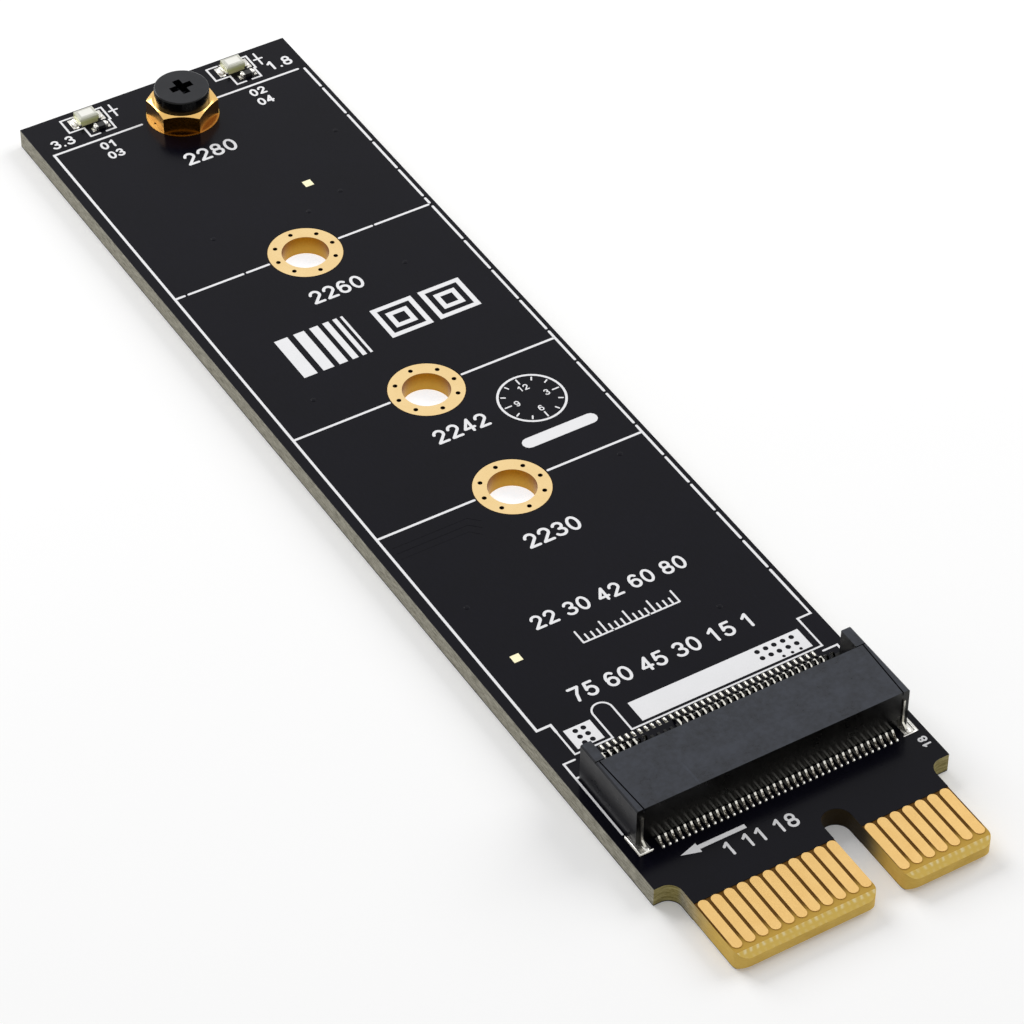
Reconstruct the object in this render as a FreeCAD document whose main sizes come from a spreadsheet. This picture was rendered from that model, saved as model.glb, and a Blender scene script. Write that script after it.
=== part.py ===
import FreeCAD, Part
import math
import os
import re

import Sketcher

# A card that carries an M.2 solid-state module and plugs into a one-lane card slot.
# Frame: X across the card, Y along it away from the edge contacts, +Z up from the
# underside.  The origin is the middle of the card's outline, on its underside.

SIZES = {
    # board
    "laminate_thickness": 1.5,
    "film_thickness": 0.05,         # solder mask, and copper with its plating
    "mask_clearance": 0.05,
    "side_margin": 0.9,             # each side of the card past the socket's width
    "socket_margin": 7.05,          # from the shoulders to the line where a module's edge stops
    "far_margin": 4.6,              # last fixing hole to the far edge
    # edge tab, key notch and bevel
    "tab_length": 7.75,
    "tab_offset": -0.1,             # tab's middle from the card's middle line
    "tab_side_margin": 0.5,         # outermost contact's middle to the tab's side
    "tab_corner_radius": 0.95,
    "shoulder_radius": 1.0,
    "bevel_length": 0.55,
    "bevel_depth": 0.35,
    "notch_depth": 7.7,
    "notch_wall_margin": 0.4,       # nearest contact's middle to the notch's wall
    # edge contacts
    "contact_pitch": 1.0,
    "contact_width": 0.75,
    "contact_length": 4.55,
    "contact_setback": 0.87,
    "contacts_left": 11,
    "contacts_right": 7,
    "notch_pitch": 3.0,             # between the two contacts beside the notch
    # fixing holes: how far each lies from the line where the module's edge stops
    "lane_offset": 0.2,             # line of holes from the card's middle line
    "seat_2230": 30.0,
    "seat_2242": 42.0,
    "seat_2260": 60.0,
    "seat_2280": 79.6,
    "hole_radius": 1.8,
    "plating_thickness": 0.05,
    "ring_width": 1.05,
    "ring_via_inset": 0.52,         # out from the hole's wall
    "ring_via_radius": 0.18,
    "ring_via_angle": 40.0,
    "mark_size": 0.7,
    "mark_far_side": 4.2,
    "mark_far_place": 67.1,
    "mark_near_side": 8.6,
    "mark_near_place": 15.3,
    # module socket, its height and reach from the stop line
    "socket_offset": -0.08,
    "row_margin": 1.5,              # outermost spring's middle to the housing's end
    "socket_height": 3.2,
    "socket_front": 3.25,
    "slab_reach": 1.8,
    "jaw_reach": 3.5,
    "arm_lead": 0.15,               # arms past the lower jaw
    "arm_width": 0.8,
    "seam_width": 0.1,
    "seam_depth": 0.3,
    "seam_front": 0.5,              # in from the housing's end, at its front and rear
    "seam_rear": 0.25,
    "joint_width": 0.08,            # the line across each arm behind the slab
    "joint_depth": 0.12,
    "housing_edge": 0.1,
    "slot_floor": 1.35,
    "slot_opening": 1.1,
    "slot_back": 0.1,
    "comb_depth": 0.45,
    "comb_width": 0.3,
    "comb_reach": 1.0,
    "key_place": 12.25,             # in spring pitches from the socket's middle
    "key_width": 1.0,
    "key_reach": 1.7,
    "overlap": 0.1,                 # where one moulded part runs into another
    "peg_inset": 1.45,              # in from the housing's end
    "peg_place": 1.4,
    "peg_length": 1.1,
    "peg_left_radius": 0.55,
    "peg_right_radius": 0.8,
    "peg_clearance": 0.05,
    # socket contacts
    "strip_pitch": 0.5,
    "strip_width": 0.16,
    "strip_thickness": 0.12,
    "upper_count": 38,
    "lower_count": 37,
    "upper_toe": 1.05,              # toe, heel and knee ahead of the housing's front
    "upper_heel": 0.7,
    "upper_knee": 0.35,
    "upper_rise": 0.36,
    "upper_riser": 1.6,
    "upper_beam_gap": 0.13,
    "upper_bend": 0.6,
    "upper_tip": 1.2,
    "upper_tip_drop": 0.35,
    "lower_toe": 1.95,              # toe and knee behind the lower jaw
    "lower_knee": 0.95,
    "lower_foot": 0.5,
    "lower_rise": 0.36,
    "lower_riser": 1.1,             # riser and tip in from the jaw's end
    "lower_tip": 0.4,
    "lower_elbow": 0.23,            # below the slot's floor
    "lower_tip_height": 0.7,        # above the slot's floor
    "pad_width": 0.22,
    "pad_overhang": 0.05,
    "front_pad_length": 1.0,
    "rear_pad_length": 0.5,
    # board locks
    "lock_side": 0.42,              # in from the housing's end
    "lock_width": 0.15,
    "lock_thickness": 0.12,
    "lock_height": 2.45,
    "lock_foot": 0.6,
    "lock_foot_height": 0.4,
    "lock_pad_width": 1.05,
    "lock_pad_length": 1.9,
    "lock_pad_reach": 0.95,         # ahead of the housing's front
    "lock_pad_side": 0.3,           # out from the housing's end
    # standoff and screw
    "standoff_height": 1.6,
    "standoff_flats": 4.87,
    "standoff_turn": 31.0,
    "standoff_face": 2.36,          # radius of the flat face inside the turned slope
    "standoff_slope": 30.0,
    "shank_clearance": 0.02,
    "thread_radius": 1.0,
    "head_radius": 2.16,
    "head_height": 1.05,
    "head_edge": 0.12,
    "screw_length": 2.6,
    "recess_span": 1.85,
    "recess_width": 0.62,
    "recess_depth": 0.7,
    "recess_turn": 2.0,
    # lamps and resistors near the far edge
    "lamp_shift": -0.33,
    "lamp_spacing": 12.97,
    "lamp_margin": 1.45,            # lamps' middle line to the far edge
    "lamp_length": 1.9,
    "lamp_width": 1.2,
    "lamp_base_height": 0.25,
    "lamp_terminal": 0.25,
    "lens_length": 1.6,
    "lens_height": 0.5,
    "lens_chamfer": 0.1,
    "lamp_pad_inner": 0.6,
    "lamp_pad_outer": 1.4,
    "resistor_shift": 0.55,
    "resistor_gap": 1.4,            # between the lamps' and the resistors' middle lines
    "resistor_length": 1.0,
    "resistor_width": 0.5,
    "resistor_height": 0.33,
    "resistor_terminal": 0.2,
    "resistor_cap": 0.02,           # how far a terminal stands proud of the body
    "resistor_pad_inner": 0.28,
    "resistor_pad_outer": 0.75,
}

# Places and sizes that follow from the driving ones.
DERIVED = {
    "card_top": "laminate_thickness + 2 * film_thickness",
    "socket_width": "(upper_count - 1) * strip_pitch + 2 * row_margin",
    "board_width": "socket_width + 2 * side_margin",
    "board_length": "tab_length + socket_margin + seat_2280 + far_margin",
    "left_edge": "-board_width / 2",
    "right_edge": "board_width / 2",
    "far_edge": "board_length / 2",
    "card_end": "-board_length / 2",
    "shoulder": "card_end + tab_length",
    "lane": "lane_offset",
    "stop_line": "shoulder + socket_margin",
    "tab_width": "(contacts_left + contacts_right - 2) * contact_pitch"
                 " + notch_pitch + 2 * tab_side_margin",
    "tab_left": "tab_offset - tab_width / 2",
    "tab_right": "tab_offset + tab_width / 2",
    "first_contact": "tab_left + tab_side_margin",
    "second_run": "first_contact + (contacts_left - 1) * contact_pitch + notch_pitch",
    "contact_low": "card_end + contact_setback",
    "contact_high": "contact_low + contact_length",
    "notch_left": "second_run - notch_pitch + notch_wall_margin",
    "notch_right": "second_run - notch_wall_margin",
    "barrel_radius": "hole_radius + plating_thickness",
    "ring_radius": "hole_radius + ring_width",
    "ring_via_circle": "hole_radius + ring_via_inset",
    "socket_middle": "lane + socket_offset",
    "socket_left": "socket_middle - socket_width / 2",
    "socket_right": "socket_middle + socket_width / 2",
    "slot_ceiling": "slot_floor + slot_opening",
    "front_face": "stop_line - socket_front",
    "jaw_end": "stop_line + jaw_reach",
    "arm_end": "jaw_end + arm_lead",
    "front_toe": "front_face - upper_toe",
    "rear_toe": "jaw_end + lower_toe",
    "peg_side": "socket_width / 2 - peg_inset",
    "lamp_left": "lane + lamp_shift - lamp_spacing / 2",
    "lamp_right": "lane + lamp_shift + lamp_spacing / 2",
    "lamp_line": "far_edge - lamp_margin",
    "resistor_line": "lamp_line - resistor_gap",
}

KEY_UPPER = (5, 4)                  # first missing spring and how many, at the module's key
GAP_LOWER = (7, 6)                  # the same for the lower row's open stretch

doc = FreeCAD.newDocument("module_adapter_card")
dims = doc.addObject("Spreadsheet::Sheet", "dims")
for row, (alias, size) in enumerate(SIZES.items(), 1):
    dims.set(f"A{row}", alias.replace("_", " "))
    dims.set(f"B{row}", str(size))
    dims.setAlias(f"B{row}", alias)
doc.recompute()

PARTS = []


def bound(total):
    """The same sum with derived names written out and sizes read from the sheet."""
    def swap(found):
        word = found[0]
        if word in DERIVED:
            return f"({bound(DERIVED[word])})"
        return f"dims.{word}" if word in SIZES else word
    return re.sub(r"[a-z]\w*", swap, str(total))


def value(total):
    return float(dims.evalExpression(bound(total)))


def drive(thing, **totals):
    """Bind properties of an object to sums on the sheet."""
    for name, total in totals.items():
        thing.setExpression(name.replace("__", "."), bound(total))


def new_body(label):
    body = doc.addObject("PartDesign::Body", label)
    body.Label = label
    return body


def keep(thing, label):
    """Mark an object as one of the card's pieces."""
    thing.Label = label
    PARTS.append(thing)
    return thing


def origin_of(body, role):
    return next(item for item in body.Origin.OriginFeatures if item.Role == role)


class Plan:
    """A fully driven sketch on one of a body's own origin planes."""

    def __init__(self, body, lift="0", plane="XY_Plane"):
        self.body = body
        self.sketch = body.newObject("Sketcher::SketchObject", "plan")
        self.sketch.AttachmentSupport = [(origin_of(body, plane), "")]
        self.sketch.MapMode = "FlatFace"
        self.sketch.setExpression("AttachmentOffset.Base.z", bound(lift))

    def constrain(self, rules):
        """rules: (constraint, total or None); a total drives the constraint's size."""
        first = self.sketch.ConstraintCount
        self.sketch.addConstraint([rule for rule, total in rules])
        for place, (rule, total) in enumerate(rules, first):
            if total is not None:
                self.sketch.setExpression(f"Constraints[{place}]", bound(total))

    def pin(self, line, end, across, along):
        """Hold one point of a line or arc at its two distances from the origin."""
        return [(Sketcher.Constraint("DistanceX", -1, 1, line, end, value(across)), across),
                (Sketcher.Constraint("DistanceY", -1, 1, line, end, value(along)), along)]

    def polygon(self, *corners):
        spots = [FreeCAD.Vector(value(across), value(along), 0) for across, along in corners]
        base = self.sketch.GeometryCount
        count = len(corners)
        self.sketch.addGeometry([Part.LineSegment(spots[step], spots[(step + 1) % count])
                                 for step in range(count)])
        rules = [(Sketcher.Constraint("Coincident", base + step, 2, base + (step + 1) % count, 1), None)
                 for step in range(count)]
        for step, (across, along) in enumerate(corners):
            rules += self.pin(base + step, 1, across, along)
        self.constrain(rules)
        return self

    def rectangle(self, left, right, low, high):
        return self.polygon((left, low), (right, low), (right, high), (left, high))

    def circle(self, across, along, radius):
        base = self.sketch.GeometryCount
        centre = FreeCAD.Vector(value(across), value(along), 0)
        self.sketch.addGeometry(Part.Circle(centre, FreeCAD.Vector(0, 0, 1), value(radius)))
        self.constrain(self.pin(base, 3, across, along)
                       + [(Sketcher.Constraint("Radius", base, value(radius)), radius)])
        return self

    def long_slot(self, across, low, high, width):
        """A round-ended slot along the sketch's second direction."""
        base = self.sketch.GeometryCount
        half = value(width) / 2
        centre_x, bottom, top = value(across), value(low) + half, value(high) - half
        up = FreeCAD.Vector(0, 0, 1)

        def arc(height, start):
            ring = Part.Circle(FreeCAD.Vector(centre_x, height, 0), up, half)
            return Part.ArcOfCircle(ring, start, start + math.pi)

        def side(x, start, end):
            return Part.LineSegment(FreeCAD.Vector(x, start, 0), FreeCAD.Vector(x, end, 0))

        self.sketch.addGeometry([arc(top, 0.0), side(centre_x - half, top, bottom),
                                 arc(bottom, math.pi), side(centre_x + half, bottom, top)])
        rules = [(Sketcher.Constraint("Tangent", base + step, 2, base + (step + 1) % 4, 1), None)
                 for step in range(4)]
        rules += self.pin(base, 3, across, f"{high} - {width} / 2")
        rules += self.pin(base + 2, 3, across, f"{low} + {width} / 2")
        rules.append((Sketcher.Constraint("Radius", base, half), f"{width} / 2"))
        self.constrain(rules)
        return self

    def pad(self, depth, side="One side", down=False):
        feature = self.body.newObject("PartDesign::Pad", "pad")
        feature.Profile = self.sketch
        feature.SideType = side
        feature.Reversed = down
        drive(feature, Length=depth)
        return self.done(feature, 1)

    def pocket(self, depth=None, side="Symmetric", down=False, taper=None):
        """Cut to a depth, or right through when no depth is given."""
        feature = self.body.newObject("PartDesign::Pocket", "pocket")
        feature.Profile = self.sketch
        feature.SideType = side
        feature.Reversed = down
        if depth is None:
            feature.Type = "ThroughAll"
        else:
            drive(feature, Length=depth)
        if taper is not None:
            drive(feature, TaperAngle=taper)
        return self.done(feature, -1)

    def revolve(self, cut=False):
        kind = "PartDesign::Groove" if cut else "PartDesign::Revolution"
        feature = self.body.newObject(kind, "turned")
        feature.Profile = self.sketch
        feature.ReferenceAxis = (self.sketch, ["V_Axis"])
        feature.Angle = 360.0
        return self.done(feature, -1 if cut else 1)

    def done(self, feature, sense):
        """Build the feature and see that it added or took away material."""
        before = self.volume()
        self.body.Tip = feature
        doc.recompute()
        change = self.body.Shape.Volume - before
        if change * sense <= 0:
            raise ValueError(f"{self.body.Label}: {feature.Label} changed the volume by {change}")
        self.sketch.Visibility = False
        return feature

    def volume(self):
        return self.body.Shape.Volume if self.body.Tip and not self.body.Shape.isNull() else 0.0


def repeat(feature, pitch, count):
    """A row of copies along X."""
    body = feature.getParentGeoFeatureGroup()
    row = body.newObject("PartDesign::LinearPattern", "row")
    row.Originals = [feature]
    row.Direction = (origin_of(body, "X_Axis"), [""])
    row.Mode = "Spacing"
    drive(row, Offset=pitch, Occurrences=count)
    body.Tip = row
    doc.recompute()
    return row


def edge_names(shape, wanted):
    """Names of the edges whose middle and direction pass a test."""
    names = []
    for number, edge in enumerate(shape.Edges, 1):
        middle = edge.valueAt((edge.FirstParameter + edge.LastParameter) / 2)
        if wanted(edge, middle):
            names.append(f"Edge{number}")
    return names


def dress(body, kind, wanted, size):
    """Fillet or chamfer the edges of a body's last feature that pass a test."""
    base = body.Tip
    feature = body.newObject(f"PartDesign::{kind}", kind.lower())
    feature.Base = (base, edge_names(base.Shape, wanted))
    drive(feature, **{"Radius" if kind == "Fillet" else "Size": size})
    body.Tip = feature
    doc.recompute()
    return feature


def upright_at(*spots):
    """A test for upright edges that stand on one of the given spots."""
    places = [(value(across), value(along)) for across, along in spots]

    def wanted(edge, middle):
        upright = abs(edge.tangentAt(edge.FirstParameter).z) > 0.99
        return upright and any(abs(middle.x - across) < 1e-4 and abs(middle.y - along) < 1e-4
                               for across, along in places)
    return wanted


def card_outline(body, lift, depth, tab_end):
    """The card's outline with its narrower tab, cut off at tab_end, and rounded shoulders."""
    Plan(body, lift).polygon(
        ("left_edge", "far_edge"), ("left_edge", "shoulder"), ("tab_left", "shoulder"),
        ("tab_left", tab_end), ("tab_right", tab_end), ("tab_right", "shoulder"),
        ("right_edge", "shoulder"), ("right_edge", "far_edge")).pad(depth)
    dress(body, "Fillet", upright_at(("tab_left", "shoulder"), ("tab_right", "shoulder")),
          "shoulder_radius")


def key_notch(body):
    Plan(body).long_slot("(notch_left + notch_right) / 2", "card_end - notch_depth",
                         "card_end + notch_depth", "(notch_right - notch_left)").pocket()


def seats():
    return [f"stop_line + {name}" for name in SIZES if name.startswith("seat_")]


def hole_vias():
    """Offsets of the small vias round a fixing hole."""
    far_x, far_y = "ring_via_circle * cos(ring_via_angle)", "ring_via_circle * sin(ring_via_angle)"
    return ([(f"{sign} * ring_via_circle", "0.0") for sign in (1, -1)]
            + [("0.0", f"{sign} * ring_via_circle") for sign in (1, -1)]
            + [(f"{sign} * {far_x}", f"{other} * {far_y}") for sign in (1, -1) for other in (1, -1)])


def pegs():
    """Locating pegs of the socket: across, along, radius."""
    return [(f"socket_middle {sign} peg_side", "stop_line - peg_place", f"peg_{name}_radius")
            for sign, name in (("-", "left"), ("+", "right"))]


def laminate():
    body = new_body("laminate")
    card_outline(body, "film_thickness", "laminate_thickness", "card_end")
    key_notch(body)
    corners = [(side, "card_end") for side in ("tab_left", "notch_left", "notch_right", "tab_right")]
    dress(body, "Fillet", upright_at(*corners), "tab_corner_radius")
    low, high = "film_thickness", "film_thickness + laminate_thickness"
    run_in = "card_end + bevel_length"
    bevels = Plan(body, plane="YZ_Plane")
    bevels.polygon(("card_end - bevel_length", low), (run_in, low), ("card_end", f"{low} + bevel_depth"),
                   ("card_end - bevel_length", f"{low} + bevel_depth"))
    bevels.polygon(("card_end - bevel_length", high), (run_in, high), ("card_end", f"{high} - bevel_depth"),
                   ("card_end - bevel_length", f"{high} - bevel_depth"))
    bevels.pocket()
    holes = Plan(body)
    for seat in seats():
        holes.circle("lane", seat, "barrel_radius")
        for across, along in hole_vias():
            holes.circle(f"lane + {across}", f"{seat} + {along}", "ring_via_radius")
    for across, along, radius in pegs():
        holes.circle(across, along, f"{radius} + peg_clearance")
    holes.pocket()
    return keep(body, "laminate")


def board_marks():
    """Left, right, low and high sides of the two square position marks."""
    marks = []
    for middle, place in (("lane + mark_far_side", "stop_line + mark_far_place"),
                          ("lane - mark_near_side", "stop_line + mark_near_place")):
        marks.append((f"{middle} - mark_size / 2", f"{middle} + mark_size / 2",
                      f"{place} - mark_size / 2", f"{place} + mark_size / 2"))
    return marks


def pad_row(toe, sense, length):
    """Low and high sides of a row of pads that starts just past the contacts' toes."""
    start = f"{toe} {sense} pad_overhang"
    return (start, f"{start} + {length}") if sense == "-" else (f"{start} - {length}", start)


def strip_middle(count, index):
    return f"socket_middle - ({count} - 1) * strip_pitch / 2 + {index} * strip_pitch"


def small_pads():
    """Pads of the lamps, the resistors and the board locks."""
    pads = []
    for middle in ("lamp_left", "lamp_right"):
        chip = f"{middle} + resistor_shift"
        for sense, other in (("-", "+"), ("+", "-")):
            for centre, line, name in ((middle, "lamp_line", "lamp"),
                                       (chip, "resistor_line", "resistor")):
                sides = (f"{centre} {sense} {name}_pad_outer", f"{centre} {sense} {name}_pad_inner")
                left, right = sides if sense == "-" else reversed(sides)
                pads.append((left, right, f"{line} - {name}_width / 2", f"{line} + {name}_width / 2"))
    low = "front_face - lock_pad_reach"
    outer = ("socket_left - lock_pad_side", "socket_right + lock_pad_side")
    pads.append((outer[0], f"{outer[0]} + lock_pad_width", low, f"{low} + lock_pad_length"))
    pads.append((f"{outer[1]} - lock_pad_width", outer[1], low, f"{low} + lock_pad_length"))
    return pads


def socket_pads(body, plan_done, toe, sense, length, count):
    """One row of pads, drawn once and repeated."""
    low, high = pad_row(toe, sense, length)
    middle = strip_middle(count, 0)
    plan = Plan(body, "card_top - film_thickness")
    plan.rectangle(f"{middle} - pad_width / 2", f"{middle} + pad_width / 2", low, high)
    repeat(plan_done(plan), "strip_pitch", count)


def mask(label, lift, has_parts):
    body = new_body(label)
    card_outline(body, lift, "film_thickness", "contact_high")
    key_notch(body)
    openings = Plan(body)
    for seat in seats():
        openings.circle("lane", seat, "ring_radius + mask_clearance")
    for across, along, radius in pegs():
        openings.circle(across, along, f"{radius} + peg_clearance")
    if has_parts:
        for sides in board_marks() + small_pads():
            openings.rectangle(*sides)
    openings.pocket()
    if has_parts:
        for toe, sense, length, count in SOCKET_ROWS:
            socket_pads(body, lambda plan: plan.pocket("film_thickness", side="One side", down=True),
                        toe, sense, length, count)
    return keep(body, label)


SOCKET_ROWS = (("front_toe", "-", "front_pad_length", "upper_count"),
               ("rear_toe", "+", "rear_pad_length", "lower_count"))


def edge_contacts(label, lift):
    body = new_body(label)
    for start, count in (("first_contact", "contacts_left"), ("second_run", "contacts_right")):
        plan = Plan(body, lift).long_slot(start, "contact_low", "contact_high", "contact_width")
        repeat(plan.pad("film_thickness"), "contact_pitch", count)
    return keep(body, label)


def hole_plating(name):
    """A plated barrel with a ring on each face, and small vias through the rings."""
    body = new_body(f"hole_plating_{name[-4:]}")
    top, film = "card_top", "film_thickness"
    Plan(body, plane="XZ_Plane").polygon(
        ("hole_radius", "0.0"), ("ring_radius", "0.0"), ("ring_radius", film), ("barrel_radius", film),
        ("barrel_radius", f"{top} - {film}"), ("ring_radius", f"{top} - {film}"), ("ring_radius", top),
        ("hole_radius", top)).revolve()
    vias = Plan(body)
    for across, along in hole_vias():
        vias.circle(across, along, "ring_via_radius")
    vias.pocket()
    drive(body, Placement__Base__x="lane", Placement__Base__y=f"stop_line + {name}")
    return keep(body, body.Label)


def flat_pads(label, sides):
    body = new_body(label)
    plan = Plan(body, "card_top - film_thickness")
    for pad in sides:
        plan.rectangle(*pad)
    plan.pad("film_thickness")
    return keep(body, label)


def pad_rows():
    body = new_body("socket_pads")
    for row in SOCKET_ROWS:
        socket_pads(body, lambda plan: plan.pad("film_thickness"), *row)
    return keep(body, "socket_pads")


def strip_run(body, corners, count, index, total):
    """Part of a row of bent strips: the side view, given its width and repeated."""
    plan = Plan(body, f"{strip_middle(count, index)}", "YZ_Plane")
    plan.polygon(*[(along, f"card_top + {height}") for along, height in corners])
    repeat(plan.pad("strip_width", side="Symmetric"), "strip_pitch", total)


def upper_contacts():
    body = new_body("socket_contacts_upper")
    rise, thick = "upper_rise", "strip_thickness"
    heel, knee = "front_face - upper_heel", "front_face - upper_knee"
    beam, dip = "slot_ceiling - upper_beam_gap", "upper_tip_drop"
    riser, bend, tip = (f"stop_line {place}" for place in ("- upper_riser", "+ upper_bend", "+ upper_tip"))
    tail_low = [("front_toe", "0.0"), (heel, "0.0"), (knee, rise), (riser, rise)]
    tail_high = [(f"{riser} - {thick}", f"{rise} + {thick}"), (f"{knee} - {thick} / 2", f"{rise} + {thick}"),
                 (f"{heel} - {thick} / 2", thick), ("front_toe", thick)]
    spring = [(riser, f"{beam} - {thick}"), (bend, f"{beam} - {thick}"), (tip, f"{beam} - {dip} - {thick}"),
              (f"{tip} + 2 * {thick}", f"{beam} - {dip} + {thick} / 2"),
              (f"{tip} + {thick}", f"{beam} - {dip} + {thick}"), (tip, f"{beam} - {dip} + {thick} / 4"),
              (f"{bend} + {thick} / 2", beam), (f"{riser} - {thick}", beam)]
    stub = [(riser, f"{rise} + {thick}")]
    first, missing = KEY_UPPER
    strip_run(body, tail_low + spring + tail_high, "upper_count", 0, first)
    strip_run(body, tail_low + stub + tail_high, "upper_count", first, missing)
    strip_run(body, tail_low + spring + tail_high, "upper_count", first + missing,
              f"upper_count - {first + missing}")
    return keep(body, "socket_contacts_upper")


def lower_contacts():
    body = new_body("socket_contacts_lower")
    thick, elbow = "strip_thickness", "slot_floor - lower_elbow"
    riser, tip, high = "jaw_end - lower_riser", "jaw_end - lower_tip", "slot_floor + lower_tip_height"
    heel, knee = "rear_toe - lower_foot", "jaw_end + lower_knee"
    corners = [("rear_toe", "0.0"), ("rear_toe", thick), (f"{heel} + {thick} / 2", thick),
               (f"{knee} + {thick} / 2", f"lower_rise + {thick}"),
               (f"{riser} + {thick}", f"lower_rise + {thick}"),
               (f"{riser} + {thick}", elbow), (tip, f"{high} - 1.3 * {thick}"),
               (f"{tip} + 2 * {thick}", f"{high} - 3.3 * {thick}"),
               (f"{tip} + 3 * {thick}", f"{high} - 2.6 * {thick}"), (f"{tip} + {thick} / 2", high),
               (f"{tip} - {thick} / 2", high), (riser, f"{elbow} + {thick} / 3"),
               (riser, "lower_rise"), (knee, "lower_rise"), (heel, "0.0")]
    first, missing = GAP_LOWER
    strip_run(body, corners, "lower_count", 0, first)
    strip_run(body, corners, "lower_count", first + missing, f"lower_count - {first + missing}")
    return keep(body, "socket_contacts_lower")


def housing_blank():
    """The moulded housing before the contacts are set into it."""
    body = new_body("housing_blank")
    height = "card_top + socket_height"
    inner_left, inner_right = "socket_left + arm_width", "socket_right - arm_width"
    floor, ceiling = "card_top + slot_floor", "card_top + slot_ceiling"
    back, slab = "stop_line - slot_back", "stop_line + slab_reach"
    middle = Plan(body, "socket_middle", "YZ_Plane")
    middle.polygon(("front_face", "card_top"), ("jaw_end", "card_top"), ("jaw_end", floor), (back, floor),
                   (back, ceiling), (slab, ceiling), (slab, height), ("front_face", height))
    middle.pad("socket_width", side="Symmetric")
    arms = Plan(body, "card_top")
    arms.rectangle("socket_left", inner_left, "front_face", "arm_end")
    arms.rectangle(inner_right, "socket_right", "front_face", "arm_end")
    arms.pad("socket_height")
    rib = Plan(body, f"{floor} - overlap")
    key = "socket_middle - key_place * strip_pitch"
    rib.rectangle(f"{key} - key_width / 2", f"{key} + key_width / 2", f"{back} - overlap",
                  "stop_line + key_reach")
    rib.pad("slot_opening + 2 * overlap")
    seams = Plan(body, height)
    for end, inward in (("socket_left", "+"), ("socket_right", "-")):
        fore, aft = f"{end} {inward} seam_front", f"{end} {inward} seam_rear"
        seams.polygon((fore, "front_face"), (f"{fore} {inward} seam_width", "front_face"),
                      (f"{aft} {inward} seam_width", slab), (aft, slab))
    seams.pocket("seam_depth", side="One side")
    joints = Plan(body, height)
    joints.rectangle("socket_left", inner_left, slab, f"{slab} + joint_width")
    joints.rectangle(inner_right, "socket_right", slab, f"{slab} + joint_width")
    joints.pocket("joint_depth", side="One side")
    comb = Plan(body, floor)
    tooth = strip_middle("lower_count", 0)
    comb.rectangle(f"{tooth} - comb_width / 2", f"{tooth} + comb_width / 2",
                   "jaw_end - comb_reach", "jaw_end + overlap")
    repeat(comb.pocket("comb_depth", side="One side"), "strip_pitch", "lower_count")
    posts = Plan(body, "card_top")
    for across, along, radius in pegs():
        posts.circle(across, along, radius)
    posts.pad("peg_length", down=True)

    def upper_rim(edge, spot):
        level = abs(edge.tangentAt(edge.FirstParameter).z) < 0.01
        outside = (abs(spot.x - value("socket_left")) < 1e-4 or abs(spot.x - value("socket_right")) < 1e-4)
        return level and outside and abs(spot.z - value(height)) < 1e-4
    dress(body, "Chamfer", upper_rim, "housing_edge")
    return body


def socket_housing(blank, *rows):
    """The housing, moulded round its contacts."""
    for row in rows:
        cut = doc.addObject("Part::Cut", "moulding")
        cut.Base = blank
        cut.Tool = row
        doc.recompute()
        blank = cut
    return keep(blank, "socket_housing")


def board_lock(side):
    """A flat metal clip on the housing's front, with a foot on its pad."""
    body = new_body(f"board_lock_{side}")
    across = {"left": "socket_left + lock_side", "right": "socket_right - lock_side"}[side]
    front = "front_face"
    Plan(body, across, "YZ_Plane").polygon(
        (front, "card_top"), (front, "card_top + lock_height"),
        (f"{front} - lock_thickness", "card_top + lock_height"),
        (f"{front} - lock_thickness", "card_top + lock_foot_height"),
        (f"{front} - lock_foot", "card_top + lock_thickness"),
        (f"{front} - lock_foot", "card_top")).pad("lock_width", side="Symmetric")
    return keep(body, f"board_lock_{side}")


def standoff():
    body = new_body("standoff")
    hexagon = Plan(body, "card_top")
    across_corners = "standoff_flats / sqrt(3)"
    hexagon.polygon(*[(f"{across_corners} * cos(standoff_turn + {turn})",
                       f"{across_corners} * sin(standoff_turn + {turn})") for turn in range(0, 360, 60)])
    hexagon.pad("standoff_height")
    shank = Plan(body)
    shank.circle("0.0", "0.0", "hole_radius - shank_clearance")
    shank.pad("card_top")
    bore = Plan(body)
    bore.circle("0.0", "0.0", "thread_radius")
    bore.pocket()
    top = "card_top + standoff_height"
    slope = Plan(body, plane="YZ_Plane")
    slope.polygon(("standoff_face", top), ("standoff_flats", top),
                  ("standoff_flats", f"{top} - (standoff_flats - standoff_face) * tan(standoff_slope)"))
    slope.revolve(cut=True)
    drive(body, Placement__Base__x="lane", Placement__Base__y="stop_line + seat_2280")
    return keep(body, "standoff")


def module_screw():
    body = new_body("module_screw")
    seat = "card_top + standoff_height"
    head = Plan(body, seat)
    head.circle("0.0", "0.0", "head_radius")
    head.pad("head_height")
    shank = Plan(body, seat)
    shank.circle("0.0", "0.0", "thread_radius")
    shank.pad("screw_length", down=True)
    top = value(f"{seat} + head_height")
    dress(body, "Fillet", lambda edge, spot: abs(spot.z - top) < 1e-4, "head_edge")
    arm, half = "recess_span / 2", "recess_width / 2"
    cross = Plan(body, f"{seat} + head_height")
    cross.polygon((arm, f"-{half}"), (arm, half), (half, half), (half, arm), (f"-{half}", arm),
                  (f"-{half}", half), (f"-{arm}", half), (f"-{arm}", f"-{half}"), (f"-{half}", f"-{half}"),
                  (f"-{half}", f"-{arm}"), (half, f"-{arm}"), (half, f"-{half}"))
    cross.pocket("recess_depth", side="One side", taper="-12")
    drive(body, Placement__Base__x="lane", Placement__Base__y="stop_line + seat_2280",
          Placement__Rotation__Angle="recess_turn")
    return keep(body, "module_screw")


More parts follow.
